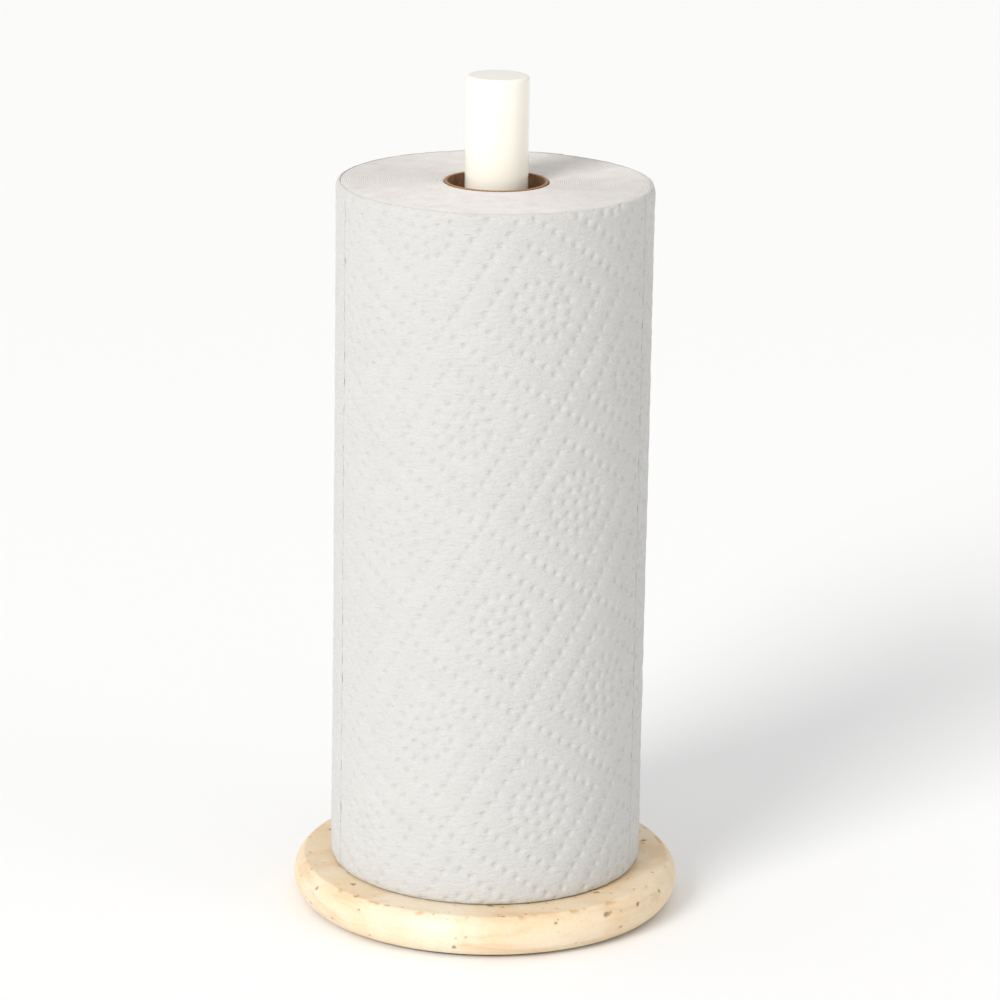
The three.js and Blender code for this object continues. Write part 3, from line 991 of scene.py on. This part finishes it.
def make_sheet(index, look, material):
    """One perforated sheet of the outer turn, as thick as the CAD sheet and embossed on its face.

    A point lies at an angle and height on the spiral: its radius falls evenly from the free end, less
    its depth in the sheet and the embossing. The embossing strays a little from its plan, and fades
    out close to the sheet's ends. The free end stands off in slow waves, the top and bottom edges
    lean in over the rounded rim, and at a perforation small ties reach into the slit.
    """
    node = SHEETS[index]
    start, end, start_radius, end_radius = sector(node)
    low, high = heights(node)
    thickness = TURN_STEP - CAD_GAP
    first, last = index == 0, index == len(SHEETS) - 1
    length = (end - start) * ROLL_RADIUS
    tuck = LAST_TUCK if last else 0
    columns = math.ceil((length + tuck) / look.grid)
    edge_drop = 0.3 * MM
    height, depth, outside = sheet_rows(low + 0.04 * MM, high - edge_drop, look.grid, thickness)
    rows = len(height)
    share = np.linspace(0, 1, columns)
    along = share * (length + tuck)
    row_height, row_along = np.meshgrid(height, along, indexing="ij")
    ties = smooth_step(0.6, 0.8, np.cos(row_height * TURN / PERFORATION_PITCH))
    if not last:
        overrun = (SLIT_REACH + TIE_REACH * ties) * smooth_step(1 - 3 / columns, 1, share)
        row_along = row_along + overrun
    angle = start + row_along / ROLL_RADIUS
    radius = start_radius + (end_radius - start_radius) * row_along / length
    radius = radius - depth[:, None]
    flat = around(ROLL_RADIUS, angle, row_height).reshape(-1, 3)
    from_tail = (angle - TAIL_ANGLE) * ROLL_RADIUS
    front = (FRONT - TAIL_ANGLE) % TURN * ROLL_RADIUS
    pattern_along, pattern_up = from_tail - front + PATTERN_ALONG, row_height - low - PATTERN_UP
    stray_along = lattice_noise(flat, 10 * MM, 83).reshape(rows, columns) * STRAY
    stray_up = lattice_noise(flat, 10 * MM, 85).reshape(rows, columns) * STRAY
    pressed, pillow = embossing(pattern_along + stray_along, pattern_up + stray_up, look)
    strength = 0.8 + 0.28 * layered_noise(flat, 26 * MM, 81, 3).reshape(rows, columns)
    from_end = np.minimum(row_along, np.abs(length - row_along))
    pressed = pressed * smooth_step(0.2 * MM, 1.8 * MM, from_end)
    face = (depth == 0)[:, None] & (np.arange(rows) < outside)[:, None]
    inset = pressed * np.clip(strength, 0.35, 1.08) * look.dot_depth - pillow * PILLOW
    fine = lattice_noise(flat, 1.7 * MM, 91).reshape(rows, columns) * 0.06 * MM
    crumple = layered_noise(flat, 7 * MM, 95, 3).reshape(rows, columns) * 0.1 * MM
    radius = radius - np.where(face, inset - fine - crumple, 0)
    radius = radius + roll_swell(flat).reshape(rows, columns)
    if first:
        waves = 1.1 + 0.9 * lattice_noise(flat * (0, 0, 1), 46 * MM, 97).reshape(rows, columns)
        radius = radius + waves * np.exp(-row_along / TAIL_REACH) * TAIL_LIFT
    lean = rim_lean(row_height)
    radius = radius - lean
    ragged = np.abs(lattice_noise(flat * (1, 1, 0), 3.5 * MM, 99).reshape(rows, columns)) * 0.15
    lift = row_height - lean * ragged * np.where(row_height > (low + high) / 2, 1, -1)
    points = around(radius, angle, lift).reshape(-1, 3)
    quads = grid_quads(rows, columns, True, False)
    uv = np.stack([from_tail.ravel(), row_height.ravel()], axis=1)
    piece = add_piece(
        f"towel_sheet_{index + 1}",
        points,
        quads,
        side_strips(rows, outside, columns),
        uv=uv,
        # the pressed share also paints shade into the dots through the paper's material
        attributes={"pressed": (pressed * face).ravel()},
        flat_caps=True,
    )
    settle(piece, "paper", "towel_paper", material, node)
    return piece


# ---------------------------------------------------------------- stage

CAMERA_PLACE = (3.54 * MM, -1700 * MM, 650.2 * MM)
CAMERA_PITCH = 15.86
CAMERA_ROLL = 0.98
CAMERA_LENS = 159.05
CAMERA_SENSOR = 36.0


def make_camera():
    """The camera stands well back, looks slightly down and leans by about a degree."""
    data = bpy.data.cameras.new("camera")
    data.lens, data.sensor_width = CAMERA_LENS, CAMERA_SENSOR
    data.clip_end = 50
    camera = bpy.data.objects.new("camera", data)
    camera.rotation_mode = "QUATERNION"
    down = Quaternion((1, 0, 0), math.radians(90 - CAMERA_PITCH))
    camera.rotation_quaternion = down @ Quaternion((0, 0, 1), math.radians(CAMERA_ROLL))
    camera.location = CAMERA_PLACE
    bpy.context.scene.collection.objects.link(camera)
    bpy.context.scene.camera = camera


def make_light(name, kind, place, aim, strength, colour=(1, 1, 1)):
    """A light of a kind that faces a point."""
    data = bpy.data.lights.new(name, kind)
    data.energy, data.color = strength, colour
    light = bpy.data.objects.new(name, data)
    light.location = place
    light.rotation_mode = "QUATERNION"
    light.rotation_quaternion = (Vector(aim) - Vector(place)).to_track_quat("-Z", "Y")
    bpy.context.scene.collection.objects.link(light)
    return data


def make_floor(look):
    """A wide pale disc under the holder."""
    columns = 96
    angle = np.arange(columns) * TURN / columns
    reach = np.array([0.4, 1.2, 3.0, 7.0, 14.0])[:, None]
    points = np.concatenate([around(reach, angle, 0)[::-1].reshape(-1, 3), [[0, 0, 0]]])
    quads = grid_quads(len(reach), columns, False, True)
    here = np.arange(columns)
    base = (len(reach) - 1) * columns
    fan = np.stack([np.full(columns, len(points) - 1), base + here, base + (here + 1) % columns], axis=1)
    floor = add_piece("floor", points, quads, fan)
    made = Recipe("pale_floor", look.floor_colour, 0.8)
    made.shader.inputs["Specular IOR Level"].default_value = 0.1
    floor.data.materials.append(made.material)


def make_stage(look):
    """Floor, camera, a large soft key from the left, a weak warm fill, and an even pale surround."""
    scene = bpy.context.scene
    scene.view_settings.view_transform = "Standard"
    scene.view_settings.look = "None"
    make_floor(look)
    make_camera()
    middle = (0, 0, 0.16)
    key = make_light("key", "SUN", (-1.35, -1.9, 1.4), middle, look.key_strength, (1, 0.99, 0.97))
    key.angle = math.radians(24)
    panel = make_light("panel", "AREA", (-1.3, -1.5, 0.9), middle, look.panel_power)
    panel.shape, panel.size, panel.size_y = "RECTANGLE", 0.5, 1.4
    fill = make_light("fill", "AREA", (1.7, -1.1, 0.7), middle, look.fill_power, (1, 0.95, 0.88))
    fill.shape, fill.size, fill.size_y = "RECTANGLE", 0.7, 1.2
    world = bpy.data.worlds.new("surround")
    world.use_nodes = True
    surround = world.node_tree.nodes["Background"]
    surround.inputs["Color"].default_value = (1, 1, 1, 1)
    surround.inputs["Strength"].default_value = look.surround
    scene.world = world


# ---------------------------------------------------------------- settings


def colour_setting(name, description, default):
    return bpy.props.FloatVectorProperty(
        name=name, description=description, default=default, subtype="COLOR", size=3, min=0, max=1
    )


def length_setting(name, description, default):
    return bpy.props.FloatProperty(
        name=name, description=description, default=default, min=0, unit="LENGTH", precision=5
    )


def light_setting(name, description, default):
    return bpy.props.FloatProperty(name=name, description=description, default=default, min=0)


class StoneLook(bpy.types.PropertyGroup):
    """Settings of the travertine base."""

    light_colour: colour_setting("Light", "The stone's palest cream", (0.85, 0.745, 0.58))
    dark_colour: colour_setting("Dark", "The darker clouds", (0.80, 0.62, 0.40))
    vein_colour: colour_setting("Vein", "The faint beds and grain", (0.66, 0.42, 0.22))
    pit_colour: colour_setting("Pit", "The inside of the open pits", (0.36, 0.21, 0.115))
    pit_count: bpy.props.IntProperty(name="Pits", description="Number of pits", default=460, min=0)
    pit_depth: length_setting("Pit depth", "Depth of the deepest pits", 0.7 * MM)
    seed: bpy.props.IntProperty(name="Seed", description="Which scatter of pits", default=7, min=0)


class HardwareLook(bpy.types.PropertyGroup):
    """Settings of the pad, gasket, washers and screw."""

    rubber_colour: colour_setting("Rubber", "Pad, gasket and rubber washer", (0.022, 0.021, 0.02))
    metal_colour: colour_setting("Metal", "Zinc-plated steel", (0.62, 0.63, 0.64))


class PostLook(bpy.types.PropertyGroup):
    """Settings of the enamelled post."""

    colour: colour_setting("Enamel", "The enamel's cream", (0.92, 0.88, 0.78))
    roughness: bpy.props.FloatProperty(
        name="Roughness",
        description="Roughness of the enamel",
        default=0.22,
        min=0,
        max=1,
        subtype="FACTOR",
    )


class RollLook(bpy.types.PropertyGroup):
    """Settings of the towel roll."""

    paper_colour: colour_setting("Paper", "The face of the towel", (0.59, 0.586, 0.571))
    edge_colour: colour_setting("Cut ends", "The ends of the roll", (0.79, 0.755, 0.725))
    board_colour: colour_setting("Core", "The cardboard core", (0.36, 0.195, 0.105))
    cell_size: length_setting("Pattern cell", "Side of one cell of the embossing", 56 * MM)
    dot_radius: length_setting("Dot radius", "Radius of an embossed dot", 1.75 * MM)
    dot_depth: length_setting("Dot depth", "Depth of an embossed dot", 0.48 * MM)
    turn_thickness: length_setting("Turn", "Thickness of one turn on the roll's end", 0.8 * MM)
    grid: length_setting("Grid", "Spacing of the points on the sheets", 0.68 * MM)


class StageLook(bpy.types.PropertyGroup):
    """Settings of the floor and lights."""

    floor_colour: colour_setting("Floor", "The pale floor", (0.95, 0.95, 0.95))
    key_strength: light_setting("Key", "Strength of the key", 1.9)
    panel_power: light_setting("Panel", "Power of the tall panel", 3)
    fill_power: light_setting("Fill", "Power of the warm fill", 3)
    surround: light_setting("Surround", "Strength of the even surround", 0.73)


# ---------------------------------------------------------------- operators and panel


class TOWEL_OT_stage(bpy.types.Operator):
    """Make the floor, the camera and the lights"""

    bl_idname = "towel_holder.stage"
    bl_label = "Stage"

    def execute(self, context):
        make_stage(context.scene.towel_stage)
        return {"FINISHED"}


class TOWEL_OT_base_stone(bpy.types.Operator):
    """Make the travertine base"""

    bl_idname = "towel_holder.base_stone"
    bl_label = "Base Stone"

    def execute(self, context):
        make_base_stone(context.scene.towel_stone)
        return {"FINISHED"}


class TOWEL_OT_base_pad(bpy.types.Operator):
    """Make the non-slip pad under the base"""

    bl_idname = "towel_holder.base_pad"
    bl_label = "Base Pad"

    def execute(self, context):
        make_base_pad(context.scene.towel_hardware)
        return {"FINISHED"}


class TOWEL_OT_hardware(bpy.types.Operator):
    """Make the gasket, washers, screw and threaded plug that hold the post"""

    bl_idname = "towel_holder.hardware"
    bl_label = "Hardware"

    def execute(self, context):
        look = context.scene.towel_hardware
        make_washers(look)
        make_fixing_screw(look)
        make_post_plug(look)
        return {"FINISHED"}


class TOWEL_OT_post(bpy.types.Operator):
    """Make the enamelled post"""

    bl_idname = "towel_holder.post"
    bl_label = "Post"

    def execute(self, context):
        make_post(context.scene.towel_post)
        return {"FINISHED"}


class TOWEL_OT_core(bpy.types.Operator):
    """Make the roll's cardboard core"""

    bl_idname = "towel_holder.core"
    bl_label = "Cardboard Core"

    def execute(self, context):
        make_core(context.scene.towel_roll)
        return {"FINISHED"}


class TOWEL_OT_winding(bpy.types.Operator):
    """Make the wound paper under the outer turn"""

    bl_idname = "towel_holder.winding"
    bl_label = "Wound Paper"

    def execute(self, context):
        make_winding(context.scene.towel_roll)
        return {"FINISHED"}


class TOWEL_OT_sheets(bpy.types.Operator):
    """Make the embossed sheets of the outer turn"""

    bl_idname = "towel_holder.sheets"
    bl_label = "Outer Sheets"

    def execute(self, context):
        look = context.scene.towel_roll
        material = towel_paper(look)
        for index in range(len(SHEETS)):
            make_sheet(index, look, material)
        return {"FINISHED"}


OPERATORS = (
    TOWEL_OT_stage,
    TOWEL_OT_base_stone,
    TOWEL_OT_base_pad,
    TOWEL_OT_hardware,
    TOWEL_OT_post,
    TOWEL_OT_core,
    TOWEL_OT_winding,
    TOWEL_OT_sheets,
)
LOOKS = {
    "towel_stone": StoneLook,
    "towel_hardware": HardwareLook,
    "towel_post": PostLook,
    "towel_roll": RollLook,
    "towel_stage": StageLook,
}


class TOWEL_PT_sidebar(bpy.types.Panel):
    """Lists the pieces and their settings"""

    bl_idname = "TOWEL_PT_sidebar"
    bl_label = "Towel Holder"
    bl_space_type = "VIEW_3D"
    bl_region_type = "UI"
    bl_category = "Towel Holder"

    def draw(self, context):
        for operator in OPERATORS:
            self.layout.operator(operator.bl_idname)
        for name, look in LOOKS.items():
            box = self.layout.box()
            settings = getattr(context.scene, name)
            for setting in look.__annotations__:
                box.prop(settings, setting)


CLASSES = (*LOOKS.values(), *OPERATORS, TOWEL_PT_sidebar)


def register():
    for made in CLASSES:
        bpy.utils.register_class(made)
    for name, look in LOOKS.items():
        setattr(bpy.types.Scene, name, bpy.props.PointerProperty(type=look))


def unregister():
    for name in LOOKS:
        delattr(bpy.types.Scene, name)
    for made in reversed(CLASSES):
        bpy.utils.unregister_class(made)


def main():
    """Registers the add-on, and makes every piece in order."""
    register()
    for operator in OPERATORS:
        _, name = operator.bl_idname.split(".")
        getattr(bpy.ops.towel_holder, name)()


if __name__ == "__main__":
    main()
